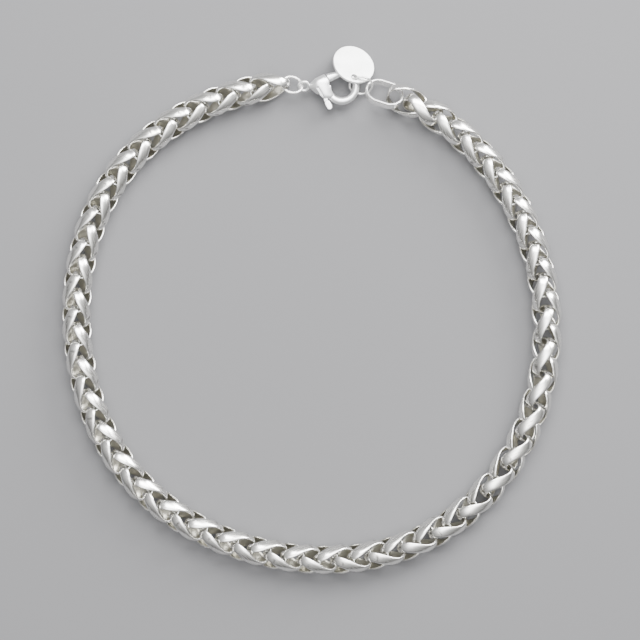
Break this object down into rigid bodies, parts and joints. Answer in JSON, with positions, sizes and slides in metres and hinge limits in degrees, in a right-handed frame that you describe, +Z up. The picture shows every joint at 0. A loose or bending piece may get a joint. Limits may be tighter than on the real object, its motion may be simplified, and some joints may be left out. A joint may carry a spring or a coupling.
{
  "type": "wheat chain necklace",
  "caption": "Wheat chain necklace of twisted interlocking ribbon links, closed by a lobster clasp with an oval end ring and a plain round tag, lying flat.",
  "frame": {"origin": "on the surface that the chain lies on, under the middle of the loop, where the neck goes", "axes": "+Z up from the surface, +Y from the middle of the loop towards the clasp, +X to the right as seen from above"},
  "size_m": [0.1439, 0.1523, 0.0087],
  "materials": {
    "chain_silver": "polished silver with fine wear",
    "fastener_silver": "polished silver",
    "clasp_silver": "satin cast silver",
    "tag_silver": "bright polished silver"
  },
  "bodies": {
    "necklace": {"chain_left": "chain_silver", "chain_right": "chain_silver", "jump_ring": "fastener_silver", "clasp_body": "clasp_silver", "clasp_pin": "clasp_silver", "tag_ring": "fastener_silver", "tag_disc": "tag_silver", "end_ring": "fastener_silver"},
    "lever": {"clasp_lever": "clasp_silver"}
  },
  "joints": [
    {"name": "gate_hinge", "type": "hinge", "parent": "necklace", "child": "lever", "pos_m": [0.00305, 0.06965, 0.00389], "axis": [0, 0, 1], "range_deg": [-20, 0], "stiffness_Nm_per_rad": 0.01, "springref_deg": 20.05}
  ]
}
